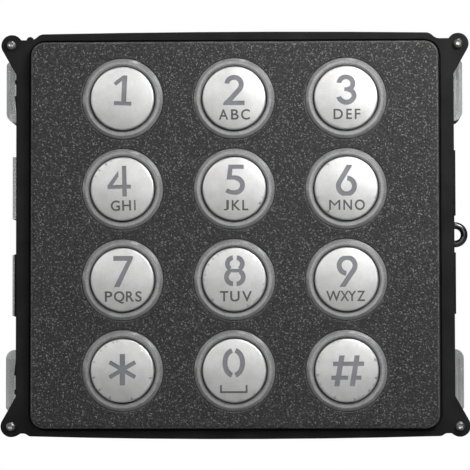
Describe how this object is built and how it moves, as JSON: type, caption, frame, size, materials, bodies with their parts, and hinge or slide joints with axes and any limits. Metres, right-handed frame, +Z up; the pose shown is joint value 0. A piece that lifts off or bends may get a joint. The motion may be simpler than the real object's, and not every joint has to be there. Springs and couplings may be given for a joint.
{
  "type": "keypad access reader",
  "caption": "Flush keypad module for a door station: graphite metal front, round domed metal keys with stencil numerals in clear light rings, black eared housing, clear rear cover.",
  "frame": {"origin": "middle of the four corner frame screws, on the front face of the housing flange", "axes": "+X to the right of a person facing the keys, +Y from the front into the wall, +Z up"},
  "size_m": [0.1072, 0.0219, 0.0932],
  "materials": {
    "plate_paint": "fine textured graphite powder coat with metallic specks",
    "black_foam": "matt closed-cell foam",
    "clear_guide": "clear moulded polycarbonate, slightly grey",
    "black_plastic": "satin black",
    "gloss_black": "glossy black",
    "silicone_grey": "translucent grey silicone",
    "board_green": "solder mask",
    "clear_cover": "clear polycarbonate",
    "led_white": "white LED body",
    "chip_black": "moulded package",
    "metal_can": "nickel can",
    "capacitor_sleeve": "dark blue sleeve",
    "socket_black": "moulded nylon",
    "jumper_blue": "moulded cap",
    "screw_zinc": "zinc plated",
    "label_white": "blank paper-finish film",
    "key_metal": "satin chrome",
    "key_fill": "grey translucent moulding",
    "carbon_silicone": "silicone with a carbon contact"
  },
  "bodies": {
    "module": {"front_plate": "plate_paint", "plate_gasket": "black_foam", "light_guide": "clear_guide", "housing": "black_plastic", "tether_eyelet": "gloss_black", "keymat": "silicone_grey", "circuit_board": "board_green", "rear_cover": "clear_cover", "cover_seal": "black_foam", "leds": "led_white", "controller_chip": "chip_black", "driver_chips": "chip_black", "crystal": "metal_can", "capacitors": "capacitor_sleeve", "buzzer": "chip_black", "link_socket_in": "socket_black", "link_socket_out": "socket_black", "jumper_pins": "socket_black", "jumper_cap": "jumper_blue", "board_screws": "screw_zinc", "cover_screws": "screw_zinc", "corner_screws": "screw_zinc", "rating_label": "label_white"},
    "key_1": {"key_cap_1": "key_metal", "key_core_1": "key_fill", "key_plug_1": "carbon_silicone"},
    "key_2": {"key_cap_2": "key_metal", "key_core_2": "key_fill", "key_plug_2": "carbon_silicone"},
    "key_3": {"key_cap_3": "key_metal", "key_core_3": "key_fill", "key_plug_3": "carbon_silicone"},
    "key_4": {"key_cap_4": "key_metal", "key_core_4": "key_fill", "key_plug_4": "carbon_silicone"},
    "key_5": {"key_cap_5": "key_metal", "key_core_5": "key_fill", "key_plug_5": "carbon_silicone"},
    "key_6": {"key_cap_6": "key_metal", "key_core_6": "key_fill", "key_plug_6": "carbon_silicone"},
    "key_7": {"key_cap_7": "key_metal", "key_core_7": "key_fill", "key_plug_7": "carbon_silicone"},
    "key_8": {"key_cap_8": "key_metal", "key_core_8": "key_fill", "key_plug_8": "carbon_silicone"},
    "key_9": {"key_cap_9": "key_metal", "key_core_9": "key_fill", "key_plug_9": "carbon_silicone"},
    "key_star": {"key_cap_star": "key_metal", "key_core_star": "key_fill", "key_plug_star": "carbon_silicone"},
    "key_0": {"key_cap_0": "key_metal", "key_core_0": "key_fill", "key_plug_0": "carbon_silicone"},
    "key_hash": {"key_cap_hash": "key_metal", "key_core_hash": "key_fill", "key_plug_hash": "carbon_silicone"}
  },
  "joints": [
    {"name": "press_1", "type": "slide", "parent": "module", "child": "key_1", "axis": [0, 1, 0], "range_m": [0, 0.0008], "stiffness_N_per_m": 600, "springref_m": -0.001},
    {"name": "press_2", "type": "slide", "parent": "module", "child": "key_2", "axis": [0, 1, 0], "range_m": [0, 0.0008], "stiffness_N_per_m": 600, "springref_m": -0.001},
    {"name": "press_3", "type": "slide", "parent": "module", "child": "key_3", "axis": [0, 1, 0], "range_m": [0, 0.0008], "stiffness_N_per_m": 600, "springref_m": -0.001},
    {"name": "press_4", "type": "slide", "parent": "module", "child": "key_4", "axis": [0, 1, 0], "range_m": [0, 0.0008], "stiffness_N_per_m": 600, "springref_m": -0.001},
    {"name": "press_5", "type": "slide", "parent": "module", "child": "key_5", "axis": [0, 1, 0], "range_m": [0, 0.0008], "stiffness_N_per_m": 600, "springref_m": -0.001},
    {"name": "press_6", "type": "slide", "parent": "module", "child": "key_6", "axis": [0, 1, 0], "range_m": [0, 0.0008], "stiffness_N_per_m": 600, "springref_m": -0.001},
    {"name": "press_7", "type": "slide", "parent": "module", "child": "key_7", "axis": [0, 1, 0], "range_m": [0, 0.0008], "stiffness_N_per_m": 600, "springref_m": -0.001},
    {"name": "press_8", "type": "slide", "parent": "module", "child": "key_8", "axis": [0, 1, 0], "range_m": [0, 0.0008], "stiffness_N_per_m": 600, "springref_m": -0.001},
    {"name": "press_9", "type": "slide", "parent": "module", "child": "key_9", "axis": [0, 1, 0], "range_m": [0, 0.0008], "stiffness_N_per_m": 600, "springref_m": -0.001},
    {"name": "press_star", "type": "slide", "parent": "module", "child": "key_star", "axis": [0, 1, 0], "range_m": [0, 0.0008], "stiffness_N_per_m": 600, "springref_m": -0.001},
    {"name": "press_0", "type": "slide", "parent": "module", "child": "key_0", "axis": [0, 1, 0], "range_m": [0, 0.0008], "stiffness_N_per_m": 600, "springref_m": -0.001},
    {"name": "press_hash", "type": "slide", "parent": "module", "child": "key_hash", "axis": [0, 1, 0], "range_m": [0, 0.0008], "stiffness_N_per_m": 600, "springref_m": -0.001}
  ]
}
